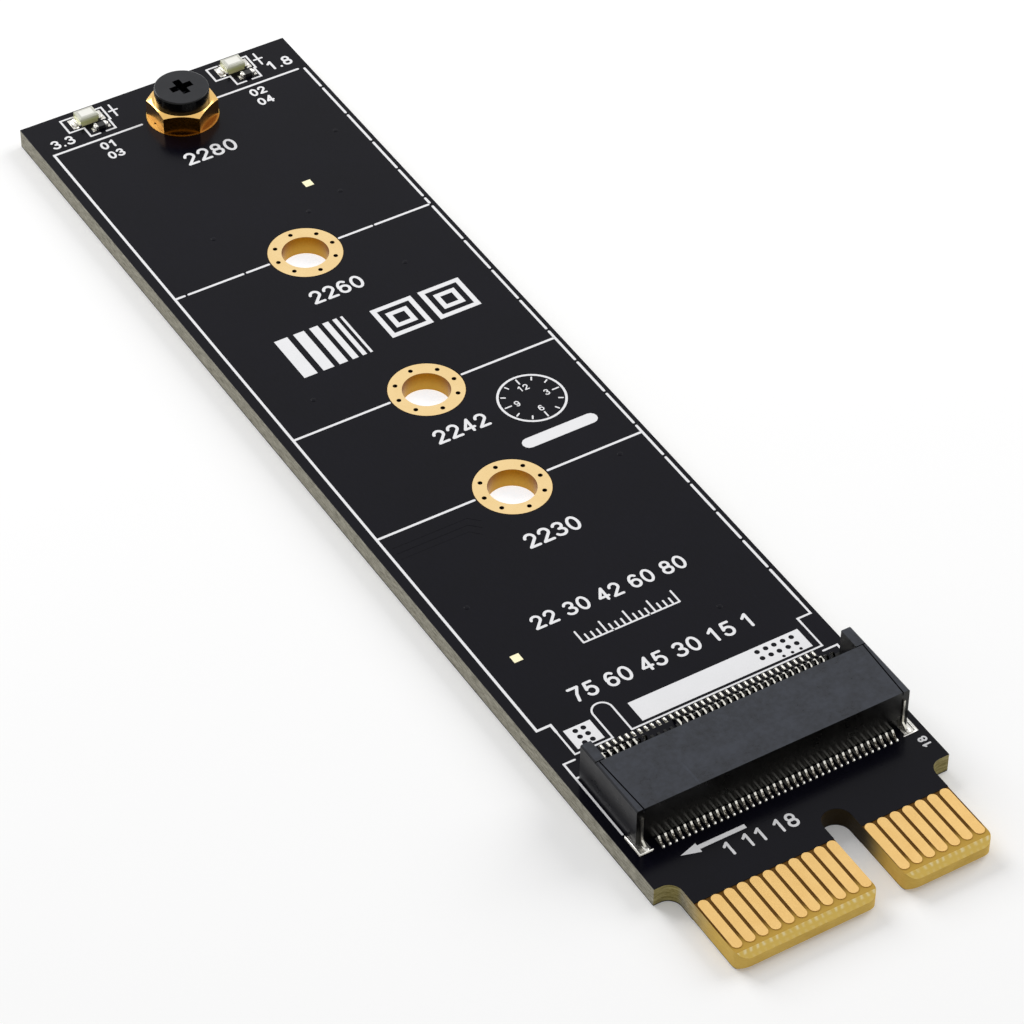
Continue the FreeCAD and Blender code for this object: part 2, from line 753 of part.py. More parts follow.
def block(label, left, right, line, width, lift, height, chamfer=None):
    """A rectangular piece on the card, given its two ends and its middle line."""
    body = new_body(label)
    plan = Plan(body, lift)
    plan.rectangle(left, right, f"{line} - {width} / 2", f"{line} + {width} / 2")
    plan.pad(height)
    if chamfer:
        top = value(f"{lift} + {height}")
        dress(body, "Chamfer", lambda edge, spot: abs(spot.z - top) < 1e-4, chamfer)
    return keep(body, label)


def end_caps(label, middle, line, length, width, lift, height, cap):
    """The two metal ends of a chip."""
    body = new_body(label)
    plan = Plan(body, lift)
    for sense in (-1, 1):
        outer, inner = f"{middle} + {sense} * {length} / 2", f"{middle} + {sense} * ({length} / 2 - {cap})"
        left, right = (outer, inner) if sense < 0 else (inner, outer)
        plan.rectangle(left, right, f"{line} - {width} / 2", f"{line} + {width} / 2")
    plan.pad(height)
    return keep(body, label)


def lamp(side):
    middle = f"lamp_{side}"
    body_half = "(lamp_length / 2 - lamp_terminal)"
    block(f"lamp_{side}_base", f"{middle} - {body_half}", f"{middle} + {body_half}", "lamp_line",
          "lamp_width", "card_top", "lamp_base_height")
    end_caps(f"lamp_{side}_terminals", middle, "lamp_line", "lamp_length", "lamp_width", "card_top",
             "lamp_base_height", "lamp_terminal")
    block(f"lamp_{side}_lens", f"{middle} - lens_length / 2", f"{middle} + lens_length / 2", "lamp_line",
          "lamp_width", "card_top + lamp_base_height", "lens_height", chamfer="lens_chamfer")


def resistor(side):
    middle = f"lamp_{side} + resistor_shift"
    half = "(resistor_length / 2 - resistor_terminal)"
    block(f"resistor_{side}_body", f"{middle} - {half}", f"{middle} + {half}", "resistor_line",
          "resistor_width", "card_top", "resistor_height")
    end_caps(f"resistor_{side}_terminals", middle, "resistor_line", "resistor_length", "resistor_width",
             "card_top", "resistor_height + resistor_cap", "resistor_terminal")


laminate()
mask("solder_mask_top", "card_top - film_thickness", has_parts=True)
mask("solder_mask_bottom", "0", has_parts=False)
edge_contacts("edge_contacts_top", "card_top - film_thickness")
edge_contacts("edge_contacts_bottom", "0")
for seat_name in [name for name in SIZES if name.startswith("seat_")]:
    hole_plating(seat_name)
flat_pads("position_marks", board_marks())
flat_pads("component_pads", small_pads())
pad_rows()
upper = upper_contacts()
lower = lower_contacts()
socket_housing(housing_blank(), upper, lower)
board_lock("left")
board_lock("right")
standoff()
module_screw()
for end in ("left", "right"):
    lamp(end)
    resistor(end)
doc.recompute()

for thing in doc.Objects:
    if {"Invalid", "Error"} & set(thing.State):
        raise ValueError(f"{thing.Label} failed: {thing.State}")
os.makedirs("parts", exist_ok=True)
for piece in PARTS:
    if piece.Shape.isNull() or not piece.Shape.isValid():
        raise ValueError(f"{piece.Label} has no valid shape")
for piece in PARTS:
    piece.Shape.exportStep(f"parts/{piece.Label}.step")
    box = piece.Shape.BoundBox
    print(f"{piece.Label}: {len(piece.Shape.Solids)} solids, {piece.Shape.Volume:.3f} mm3,"
          f" z {box.ZMin:.3f} to {box.ZMax:.3f}")
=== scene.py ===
import math

import bmesh
import bpy
from mathutils import Matrix, Vector

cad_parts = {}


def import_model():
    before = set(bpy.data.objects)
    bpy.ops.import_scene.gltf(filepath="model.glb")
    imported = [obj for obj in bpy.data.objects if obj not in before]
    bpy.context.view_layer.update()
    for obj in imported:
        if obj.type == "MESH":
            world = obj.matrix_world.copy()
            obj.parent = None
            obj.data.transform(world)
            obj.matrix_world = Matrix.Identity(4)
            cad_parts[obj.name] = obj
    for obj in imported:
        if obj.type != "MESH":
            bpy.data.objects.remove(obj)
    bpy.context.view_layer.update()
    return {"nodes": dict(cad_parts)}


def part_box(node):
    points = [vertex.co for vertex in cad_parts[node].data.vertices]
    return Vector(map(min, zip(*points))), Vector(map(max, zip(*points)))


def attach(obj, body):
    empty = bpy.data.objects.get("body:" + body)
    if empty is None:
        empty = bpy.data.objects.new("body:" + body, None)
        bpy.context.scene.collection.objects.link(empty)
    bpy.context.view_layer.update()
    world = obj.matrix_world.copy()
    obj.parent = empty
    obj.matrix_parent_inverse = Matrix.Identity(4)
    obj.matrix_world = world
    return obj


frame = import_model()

MM = 0.001

nodes = frame["nodes"]

# Places are in millimetres: across from the line of fixing holes, along from the line where a
# module's edge stops, and up from the card's upper face.
SHORTEST_MODULE = 30.0      # from its stopped edge to its fixing hole
TAB_LENGTH = 7.75           # from the card's end to its shoulders
CONTACTS_TO_NOTCH = 11.87   # from the contacts' left edge to the middle of the key notch

hole_low, hole_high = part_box("hole_plating_2230")
first_hole = (hole_low + hole_high) / 2 / MM
upper_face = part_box("solder_mask_top")[1].z / MM
ORIGIN = Vector((first_hole.x, first_hole.y - SHORTEST_MODULE, upper_face))


def place(across, along, height=0.0):
    """A place's point in the frame, in metres."""
    return (Vector((across, along, height)) + ORIGIN) * MM


def corners(node):
    """The places of a node's lowest and highest corners."""
    return [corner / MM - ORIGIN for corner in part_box(node)]


def middle(node):
    """The place in the middle of a node."""
    low, high = corners(node)
    return (low + high) / 2


CARD_END = corners("laminate")[0].y
SHOULDERS = CARD_END + TAB_LENGTH
NOTCH = corners("edge_contacts_top")[0].x + CONTACTS_TO_NOTCH


# ---------------------------------------------------------------- finishes

class Wire:
    """A shader output that takes part in sums."""

    def __init__(self, nodes, socket):
        self.nodes = nodes
        self.socket = socket

    def __add__(self, other):
        return self.nodes.maths("ADD", self, other)

    __radd__ = __add__

    def __sub__(self, other):
        return self.nodes.maths("SUBTRACT", self, other)

    def __rsub__(self, other):
        return self.nodes.maths("SUBTRACT", other, self)

    def __mul__(self, other):
        return self.nodes.maths("MULTIPLY", self, other)

    def __truediv__(self, other):
        return self.nodes.maths("DIVIDE", self, other)

    def __pow__(self, other):
        return self.nodes.maths("POWER", self, other)

    def __abs__(self):
        return self.nodes.maths("ABSOLUTE", self)


class Nodes:
    """A node tree that is built up from sums."""

    def __init__(self, tree):
        self.tree = tree

    def kept(self, kind):
        """The node of a kind that a new tree comes with."""
        return next(node for node in self.tree.nodes if node.type == kind)

    def feed(self, socket, value):
        """Give a socket a value or a link."""
        if isinstance(value, Wire):
            self.tree.links.new(value.socket, socket)
        else:
            socket.default_value = value

    def node(self, kind, settings, *values, out=0, **named):
        """Add a node: its settings first, then its sockets' values or links.  None skips a socket."""
        node = self.tree.nodes.new(kind)
        for name, setting in settings.items():
            setattr(node, name, setting)
        for number, value in enumerate(values):
            if value is not None:
                self.feed(node.inputs[number], value)
        for name, value in named.items():
            self.feed(node.inputs[name.replace("_", " ")], value)
        return Wire(self, node.outputs[out])

    def maths(self, operation, *terms):
        return self.node("ShaderNodeMath", {"operation": operation}, *terms)

    def mix(self, share, first, second):
        """Two colours mixed by a share."""
        # the sockets for colours come after the share's own and five for numbers and vectors
        skipped = [None] * 5
        return self.node("ShaderNodeMix", {"data_type": "RGBA"}, share, *skipped, first, second, out=2)

    def over(self, value, low, high):
        """0 below low, 1 above high, and a smooth rise between."""
        settings = {"interpolation_type": "SMOOTHSTEP"}
        return self.node("ShaderNodeMapRange", settings, value, low, high, 0.0, 1.0)

    def under(self, value, low, high):
        """1 below low, 0 above high, and a smooth fall between."""
        return 1 - self.over(value, low, high)

    def within(self, value, rise, fall):
        """1 from the end of the rise to the start of the fall, and 0 outside both."""
        return self.over(value, *rise) * self.under(value, *fall)

    def seen(self):
        """1 where the camera sees the surface, straight or in metal and glass, and 0 for its light."""
        straight, mirrored, through = (self.node("ShaderNodeLightPath", {}, out=f"Is {kind} Ray")
                                       for kind in ("Camera", "Glossy", "Transmission"))
        return self.maths("MAXIMUM", straight, self.maths("MAXIMUM", mirrored, through))


class Finish(Nodes):
    """A material with one surface shader."""

    def __init__(self, name, **constants):
        self.material = bpy.data.materials.new(name)
        self.material.use_nodes = True
        super().__init__(self.material.node_tree)
        self.shader = self.kept("BSDF_PRINCIPLED")
        for socket, value in constants.items():
            self.set(socket, value)
        self.spot = self.node("ShaderNodeTexCoord", {}, out="Object")

    def set(self, socket, value):
        """Feed one of the surface shader's sockets."""
        self.feed(self.shader.inputs[socket.replace("_", " ")], value)

    def cells(self, size, stretch):
        """Coordinates that count cells about size millimetres across."""
        grain = tuple(1 / (size * MM * share) for share in stretch)
        return self.node("ShaderNodeVectorMath", {"operation": "MULTIPLY"}, self.spot, grain)

    def noise(self, size, detail=3.0, rough=0.5, stretch=(1, 1, 1)):
        """Noise with features about size millimetres across, from 0 to 1."""
        return self.node("ShaderNodeTexNoise", {}, Vector=self.cells(size, stretch), Scale=1.0,
                         Detail=detail, Roughness=rough)

    def speckle(self, size, stretch=(1, 1, 1)):
        """Distance inside scattered cells about size millimetres across."""
        return self.node("ShaderNodeTexVoronoi", {}, Vector=self.cells(size, stretch), Scale=1.0,
                         out="Distance")

    def at(self, axis):
        """The surface's place along an axis."""
        return self.node("ShaderNodeSeparateXYZ", {}, self.spot, out=axis) / MM - ORIGIN["XYZ".index(axis)]

    def facing(self, axis):
        """How far the surface faces along an axis, from -1 to 1."""
        normal = self.node("ShaderNodeNewGeometry", {}, out="Normal")
        return self.node("ShaderNodeSeparateXYZ", {}, normal, out=axis)

    def surface(self, colour, roughness, height, depth):
        """Give the material, with bumps that are depth millimetres high where height is 1."""
        bump = self.node("ShaderNodeBump", {}, Strength=1.0, Distance=depth * MM, Height=height)
        for socket, value in (("Base Color", colour), ("Roughness", roughness), ("Normal", bump)):
            self.set(socket, value)
        return self.material


def tone(red, green, blue):
    """A display colour, 0 to 255, as a shader colour."""
    def linear(part):
        part /= 255
        return part / 12.92 if part <= 0.04045 else ((part + 0.055) / 1.055) ** 2.4
    return (linear(red), linear(green), linear(blue), 1.0)


def mask_finish():
    """Glossy black solder mask with faint drawn streaks and specks."""
    f = Finish("solder_mask_black", IOR=1.5, Specular_IOR_Level=0.12)
    cloud, streaks = f.noise(5.0, 3), f.noise(0.16, 3, 0.6, (1, 5, 1))
    specks = f.under(f.speckle(1.1), 0.05, 0.11)
    shade = cloud * 0.5 + streaks * 0.4 + specks * 0.3
    return f.surface(f.mix(shade, tone(1, 1, 5), tone(10, 9, 22)), 0.14 + streaks * 0.12,
                     streaks * 0.7 + specks * 0.3, 0.004)


def laminate_finish():
    """Glass-fibre laminate: gold brown where it is bare, grey olive along the masked card's edges."""
    f = Finish("glass_fibre_laminate", IOR=1.5, Specular_IOR_Level=0.12)
    x, y, z, level = f.at("X"), f.at("Y"), f.at("Z"), f.facing("Z")
    layers, fibres = f.noise(0.1, 3, 0.6, (9, 9, 1)), f.noise(0.05, 3, 0.7, (3, 3, 1))
    patches = f.noise(1.2, 3)
    streaks = f.over(layers * 0.6 + fibres * 0.4, 0.3, 0.7)

    # the walls are olive, but amber round the tab and green at its shoulders
    olive = f.mix(streaks, tone(98, 94, 80), tone(190, 186, 170))
    green = f.mix(streaks, tone(112, 98, 30), tone(176, 164, 92))
    amber = f.mix(patches * 0.5 + layers * 0.5, tone(192, 150, 56), tone(242, 208, 112))
    tab = f.under(y + patches * 1.2, SHOULDERS - 4.65, SHOULDERS + 0.35)
    before, past = (SHOULDERS - 3.85, SHOULDERS - 2.65), (SHOULDERS - 0.25, SHOULDERS + 1.55)
    shoulder = f.within(y, before, past) * f.under(f.facing("Y"), -0.5, 0.1)
    wall = f.mix(shoulder * 0.8, f.mix(tab, olive, amber), green)

    # painted shade: the notch's wall, which the card beside it shades, a painted contact shadow along the
    # card's lower rim, and the walls of the small holes are dark
    before, past = (CARD_END + 2.0, CARD_END + 5.5), (SHOULDERS + 2.55, SHOULDERS + 3.55)
    notch = f.under(abs(x - NOTCH), 1.15, 1.5) * f.within(y, before, past)
    rim = f.under(z, -1.55, -1.46) * f.under(abs(level), 0.2, 0.5)
    small_holes = f.under(abs(x), 8.0, 8.5) * f.within(y, (-2.0, -1.5), (83.0, 83.4))
    for share, dark in ((notch, tone(44, 33, 12)), (rim, tone(30, 28, 20)), (small_holes, tone(28, 15, 6))):
        wall = f.mix(share, wall, dark)

    # the bevel shows the ends of the glass bundles, in two uneven rows
    half_bundle, first_bundle = 0.25, -0.2
    wander = f.noise(0.7, 3) * 0.5
    bundle = f.maths("PINGPONG", x - first_bundle + wander, half_bundle) / half_bundle
    tick = f.over(bundle, 0.25, 1.0) * (1 - f.over(patches, 0.45, 0.7) * 0.7)
    rows = f.within(z, (-0.5, -0.4), (-0.34, -0.24)) * 0.25 + f.over(z, -0.24, -0.14)
    bevel = f.mix(tick * rows, tone(234, 198, 100), tone(250, 230, 172))

    # between the contacts the face is dark, and lighter towards their ends
    near = f.under(y + patches * 0.4, CARD_END + 0.9, CARD_END + 2.3)
    face = f.mix(near, tone(92, 60, 4), tone(190, 152, 66))

    sloping, flat = f.over(level, 0.2, 0.5), f.over(abs(level), 0.93, 0.98)
    return f.surface(f.mix(flat, f.mix(sloping, wall, bevel), face), 0.45 + fibres * 0.25,
                     layers * 0.5 + fibres * 0.5, 0.03)


def ring_finish():
    """Gold plating that is pale on the ring pads and brown down the holes' walls, partly the bare plating's
    own colour and partly painted shade.
    """
    f = Finish("plated_gold_rings", Metallic=1.0)
    grains, cloud = f.noise(0.12, 4, 0.6), f.noise(1.5, 2)
    wall = f.under(abs(f.facing("Z")), 0.3, 0.8)
    face = f.mix(grains * 0.5 + cloud * 0.5, tone(234, 200, 138), tone(248, 220, 166))
    rise = f.over(f.at("Z"), -1.4, -0.1)
    # painted shade down the walls: darker near the top and lighter towards the bottom
    down = f.mix(rise + grains * 0.3 - 0.15, tone(188, 142, 56), tone(146, 94, 14))
    return f.surface(f.mix(wall, face, down), 0.15 + grains * 0.1 + wall * 0.15, grains, 0.002)


def stained_ring_finish(node):
    """The ring under the standoff: pale on one side, and brown round to the other side, where painted shade
    and a painted reflection of the standoff darken it.
    """
    f = Finish("ring_gold_painted_shade", Metallic=1.0)
    centre = middle(node)
    across, along = f.at("X") - centre.x, f.at("Y") - centre.y
    reach = f.maths("SQRT", across ** 2 + along ** 2)
    grains = f.noise(0.12, 4, 0.6)
    # from -1 on the pale side to 1 on the side across from it, along a fixed bearing across the card that
    # sets where the painted shade falls
    bearing = (across * 0.85 - along * 0.52) / reach
    inner = f.under(reach + grains * 0.2, 2.72, 2.9)
    pale = f.mix(grains, tone(196, 166, 92), tone(226, 194, 114))
    # the brown is painted shade and a painted reflection of the standoff, darkest on the inner part of the
    # ring next to it
    brown = f.mix(f.over(bearing, 0.15, 0.7), tone(38, 25, 10), tone(136, 98, 44))
    painted_shade = f.over(bearing, -0.8, -0.3) * (0.25 + inner * 0.75)
    return f.surface(f.mix(painted_shade, pale, brown), 0.2 + grains * 0.15, grains, 0.002)


def metal_finish(name, dark, light, roughness, grain, depth):
    """Metal with a fine grain that varies its colour, gloss and surface."""
    f = Finish(name, Metallic=1.0)
    grains, cloud = f.noise(grain, 4, 0.6), f.noise(grain * 12, 2)
    colour = f.mix(grains * 0.5 + cloud * 0.5, dark, light)
    return f.surface(colour, roughness + grains * 0.14, grains, depth)


def plastic_finish(name, dark, light, roughness, grain, depth, specular=0.4):
    """Moulded plastic with a faint cloud and a fine pitted surface."""
    f = Finish(name, IOR=1.5, Specular_IOR_Level=specular)
    cloud, grains, pits = f.noise(grain * 20, 3, 0.6), f.noise(grain, 4, 0.6), f.speckle(grain * 3)
    return f.surface(f.mix(cloud * 0.6 + grains * 0.4, dark, light), roughness + cloud * 0.15,
                     grains * 0.6 + f.over(pits, 0.0, 0.5) * 0.4, depth)


def housing_finish():
    """Black moulded nylon, clouded and lightly scratched on its upper face, with painted light making the
    upper face grey and painted shade making the sides near black, the front darkest.
    """
    f = Finish("moulded_housing", IOR=1.5, Specular_IOR_Level=0.25)
    cloud, fine, grains = f.noise(1.6, 5, 0.65), f.noise(0.35, 4, 0.6), f.noise(0.05, 4, 0.6)
    scratches = f.under(f.speckle(1.6, (1, 12, 1)), 0.03, 0.08)
    crossed = f.under(f.speckle(2.2, (14, 1.2, 1)), 0.02, 0.06)
    marks = scratches * 0.4 + crossed * 0.4
    mottle = f.over(cloud * 0.6 + fine * 0.4, 0.3, 0.7)
    # painted light and shade: upward faces get a lit grey, the ends a shaded dark grey and the front a near
    # black
    upper = f.over(f.facing("Z"), 0.6, 0.9) * f.over(f.at("Z"), 1.6, 2.0)
    ends = f.over(abs(f.facing("X")), 0.5, 0.9)
    top = f.mix(mottle * 0.6 + marks, tone(41, 43, 48), tone(61, 65, 75))
    sides = f.mix(ends, tone(2, 2, 2), tone(22, 22, 26))
    return f.surface(f.mix(upper, sides, top), 0.25 + mottle * 0.14,
                     fine * 0.6 + grains * 0.15 + marks * 0.4, 0.008)


def front_tail_finish():
    """Front spring tails: bright at the knee, and darker and speckled on the slope and foot."""
    f = Finish("front_tail_metal", Metallic=1.0)
    height = f.at("Z")
    grains, flecks = f.noise(0.06, 4, 0.6), f.over(f.noise(0.09, 3, 0.6), 0.42, 0.62)
    bright = f.mix(grains, tone(196, 193, 184), tone(240, 238, 230))
    flecked = f.mix(flecks, tone(46, 41, 33), tone(186, 181, 170))
    slope, foot = f.under(height, 0.31, 0.35), f.under(height, 0.13, 0.18)
    return f.surface(f.mix(slope, bright, flecked), 0.1 + foot * 0.3 + grains * 0.1, grains, 0.003)


def rear_tail_finish():
    """Rear spring tails: bright on top of their feet and shoulders, with painted shade, near black, on the
    slopes, sides and tips.
    """
    f = Finish("rear_tail_metal", Metallic=1.0)
    grains = f.noise(0.06, 4, 0.6)
    bright = f.mix(grains, tone(196, 193, 182), tone(240, 238, 230))
    level = f.over(f.facing("Z"), 0.88, 0.98) * f.under(f.at("Z"), 0.6, 0.8)
    # every face but the low level tops gets the painted shade
    return f.surface(f.mix(level, tone(14, 13, 11), bright), 0.2 + grains * 0.14, grains, 0.001)


def pad_finish():
    """Tinned pads: bright in front of the socket, dull with flux behind it."""
    f = Finish("tinned_pads", Metallic=1.0)
    grains = f.noise(0.08, 4, 0.6)
    clean = f.mix(grains, tone(150, 147, 138), tone(214, 211, 202))
    rear = f.over(f.at("Y"), 3.0, 3.5)
    return f.surface(f.mix(rear, clean, tone(164, 161, 150)), 0.06 + grains * 0.14, grains, 0.0015)


def brass_finish():
    """Turned brass, bright on top, with painted shade and painted dark reflections making it browner down
    the flats.
    """
    f = Finish("turned_brass", Metallic=1.0)
    grains, cloud = f.noise(0.2, 4, 0.6), f.noise(2.4, 2)
    share = grains * 0.5 + cloud * 0.5
    level = f.over(f.facing("Z"), 0.2, 0.8)
    top = f.mix(share, tone(218, 170, 92), tone(242, 202, 130))
    # painted shade and dark reflections on the flats, which face sideways
    shaded_flats = f.mix(share, tone(100, 60, 6), tone(138, 90, 18))
    return f.surface(f.mix(level, shaded_flats, top), 0.22 - level * 0.14 + grains * 0.14, grains, 0.001)


def screw_finish():
    """Blackened steel, with painted light making the top of the head greyer and painted shade making its
    sides near black.
    """
    f = Finish("blackened_steel", IOR=1.5, Specular_IOR_Level=0.2)
    cloud, grains = f.noise(1.0, 3, 0.6), f.noise(0.05, 4, 0.6)
    top = f.mix(cloud * 0.6 + grains * 0.4, tone(30, 31, 34), tone(44, 45, 49))
    # painted light on the upward faces, painted shade on the rest
    level = f.over(f.facing("Z"), 0.8, 0.98)
    return f.surface(f.mix(level, tone(3, 3, 4), top), 0.16 + cloud * 0.12, grains, 0.0015)


def lens_finish(name, node):
    """A lamp's cloudy lens: greenish lower down its sides, and whiter in the middle of its top."""
    f = Finish(name, IOR=1.5, Specular_IOR_Level=0.4)
    low, high = corners(node)
    centre, half = (low + high) / 2, (high - low) / 2
    cloud = f.noise(0.3, 3)
    border, blur = 0.3, 0.09

    def inside(axis, centre_line, reach):
        return f.under(abs(f.at(axis) - centre_line), reach - border, reach - border + blur)

    window = inside("X", centre.x, half.x) * inside("Y", centre.y, half.y)
    sides = f.mix(f.over(f.at("Z"), low.z, high.z), tone(208, 212, 140), tone(240, 241, 222))
    top = f.mix(window, tone(204, 204, 194), tone(244, 243, 236))
    return f.surface(f.mix(f.over(f.facing("Z"), 0.6, 0.9), sides, top), 0.25 + cloud * 0.2, cloud, 0.002)


FINISHES = {
    "mask": mask_finish(),
    "laminate": laminate_finish(),
    "gold": metal_finish("plated_gold", tone(208, 166, 97), tone(228, 193, 130), 0.3, 0.1, 0.006),
    "ring_gold": ring_finish(),
    "ring_painted_shade": stained_ring_finish("hole_plating_2280"),
    "front_tail": front_tail_finish(),
    "rear_tail": rear_tail_finish(),
    "pale_mark": metal_finish("pale_position_mark", tone(232, 224, 184), tone(246, 240, 206),
                              0.3, 0.12, 0.003),
    "pad_tin": pad_finish(),
    "lock_tin": metal_finish("board_lock_metal", tone(170, 166, 156), tone(224, 222, 212),
                             0.22, 0.08, 0.003),
    "solder": metal_finish("solder", tone(196, 194, 188), tone(240, 238, 232), 0.2, 0.12, 0.006),
    "spring": metal_finish("spring_metal", tone(188, 185, 176), tone(236, 234, 226), 0.1, 0.06, 0.003),
    "brass": brass_finish(),
    "steel": screw_finish(),
    "housing": housing_finish(),
    "lens_left": lens_finish("lamp_lens_left", "lamp_left_lens"),
    "lens_right": lens_finish("lamp_lens_right", "lamp_right_lens"),
    "lamp_base": plastic_finish("lamp_base", tone(206, 204, 138), tone(228, 226, 172), 0.5, 0.05, 0.003),
    "resistor": plastic_finish("resistor_glaze", tone(12, 12, 13), tone(28, 28, 29), 0.35, 0.05, 0.003),
    "print": plastic_finish("white_print", tone(234, 234, 236), tone(247, 247, 249), 0.55, 0.06, 0.004,
                            specular=0.2),
}

DRESS = {
    "laminate": "laminate", "solder_mask_top": "mask", "solder_mask_bottom": "mask",
    "edge_contacts_top": "gold", "edge_contacts_bottom": "gold",
    "hole_plating_2230": "ring_gold", "hole_plating_2242": "ring_gold",
    "hole_plating_2260": "ring_gold", "hole_plating_2280": "ring_painted_shade",
    "position_marks": "pale_mark", "component_pads": "solder", "socket_pads": "pad_tin",
    "socket_housing": "housing",
    "socket_contacts_upper": "front_tail", "socket_contacts_lower": "rear_tail",
    "board_lock_left": "lock_tin", "board_lock_right": "lock_tin",
    "standoff": "brass", "module_screw": "steel",
    "lamp_left_base": "lamp_base", "lamp_right_base": "lamp_base",
    "lamp_left_lens": "lens_left", "lamp_right_lens": "lens_right",
    "lamp_left_terminals": "spring", "lamp_right_terminals": "spring",
    "resistor_left_body": "resistor", "resistor_right_body": "resistor",
    "resistor_left_terminals": "solder", "resistor_right_terminals": "solder",
}
for name, finish in DRESS.items():
    nodes[name].data.materials.clear()
    nodes[name].data.materials.append(FINISHES[finish])


# ---------------------------------------------------------------- print, solder and relief

LINE, FINE_LINE, THIN_LINE = 0.2, 0.16, 0.14    # widths of the printed lines
HAIR, LEVELS = 0.001, 6                         # the lines' upper faces are on levels a hair apart


def turns(start, end, count):
    """Bearings from one to another, in equal steps."""
    return [math.radians(start + (end - start) * step / count) for step in range(count + 1)]


def circle(across, along, radius, count=24):
    return [(across + radius * math.cos(turn), along + radius * math.sin(turn))
            for turn in turns(0, 360, count)[:-1]]


def rectangle(left, right, low, high):
    return [(left, low), (right, low), (right, high), (left, high)]


def bow(across, along, wide, tall, start, end, count=None):
    """Part of an ellipse, from one bearing to another."""
    count = count or max(4, round(abs(end - start) / 12))
    return [(across + wide * math.cos(turn), along + tall * math.sin(turn))
            for turn in turns(start, end, count)]


def offset(before, here, after, distance):
    """The corner of a line's side, mitred between the runs that meet there."""
    runs = [(there - start).normalized() for start, there in ((before, here), (here, after))
            if (there - start).length > 0]
    sides = [Vector((-run.y, run.x)) for run in runs]
    joined = sum(sides, Vector((0, 0)))
    return here + joined * (distance * len(sides) / joined.length_squared)


def pen_line(points, width):
    """The outline of a line with round ends."""
    spots = [Vector(point) for point in points]
    half = width / 2
    outline = []
    for line in (spots, spots[::-1]):
        for number, here in enumerate(line):
            before, after = line[max(number - 1, 0)], line[min(number + 1, len(line) - 1)]
            outline.append(offset(before, here, after, half))
        run = (line[-1] - line[-2]).normalized()
        side = Vector((-run.y, run.x))
        outline += [line[-1] + (side * math.cos(turn) + run * math.sin(turn)) * half
                    for turn in turns(0, 180, 6)[1:-1]]
    return [tuple(spot) for spot in outline]


# Pen strokes of each sign, in a box of this width and a height of 1.
SIGN_WIDTH = 0.6
SIGNS = {
    "0": [bow(0.3, 0.5, 0.3, 0.5, 90, 270), bow(0.3, 0.5, 0.3, 0.5, 270, 450)],
    "1": [[(0.08, 0.76), (0.36, 1.0)], [(0.36, 1.0), (0.36, 0.0)]],
    "2": [[*bow(0.3, 0.71, 0.28, 0.29, 170, -30), (0.0, 0.0)], [(0.0, 0.0), (0.6, 0.0)]],
    "3": [bow(0.29, 0.76, 0.26, 0.24, 160, -90), bow(0.29, 0.26, 0.31, 0.26, 90, -160)],
    "4": [[(0.0, 0.27), (0.62, 0.27)], [(0.0, 0.27), (0.45, 1.0)], [(0.45, 1.0), (0.45, 0.0)]],
    "5": [[(0.56, 1.0), (0.13, 1.0)], [(0.13, 1.0), (0.05, 0.5)], bow(0.29, 0.32, 0.31, 0.32, 140, -155)],
    "6": [bow(0.32, 0.5, 0.31, 0.5, 50, 180), bow(0.31, 0.3, 0.29, 0.3, 180, 0),
          bow(0.31, 0.3, 0.29, 0.3, 360, 180)],
    "7": [[(0.0, 1.0), (0.6, 1.0)], [(0.6, 1.0), (0.32, 0.5), (0.2, 0.0)]],
    "8": [bow(0.3, 0.75, 0.25, 0.25, 90, 270), bow(0.3, 0.75, 0.25, 0.25, 270, 450),
          bow(0.3, 0.27, 0.3, 0.27, 90, 270), bow(0.3, 0.27, 0.3, 0.27, 270, 450)],
    "9": [bow(0.28, 0.5, 0.31, 0.5, 230, 360), bow(0.29, 0.7, 0.29, 0.3, 0, 180),
          bow(0.29, 0.7, 0.29, 0.3, 180, 360)],
    ".": [[(0.3, 0.0), (0.3, 0.02)]],
    " ": [],
}
# How far apart signs stand, as shares of their height.
SPACING, NARROW_SPACING = 0.777, {" ": 0.39, ".": 0.39}


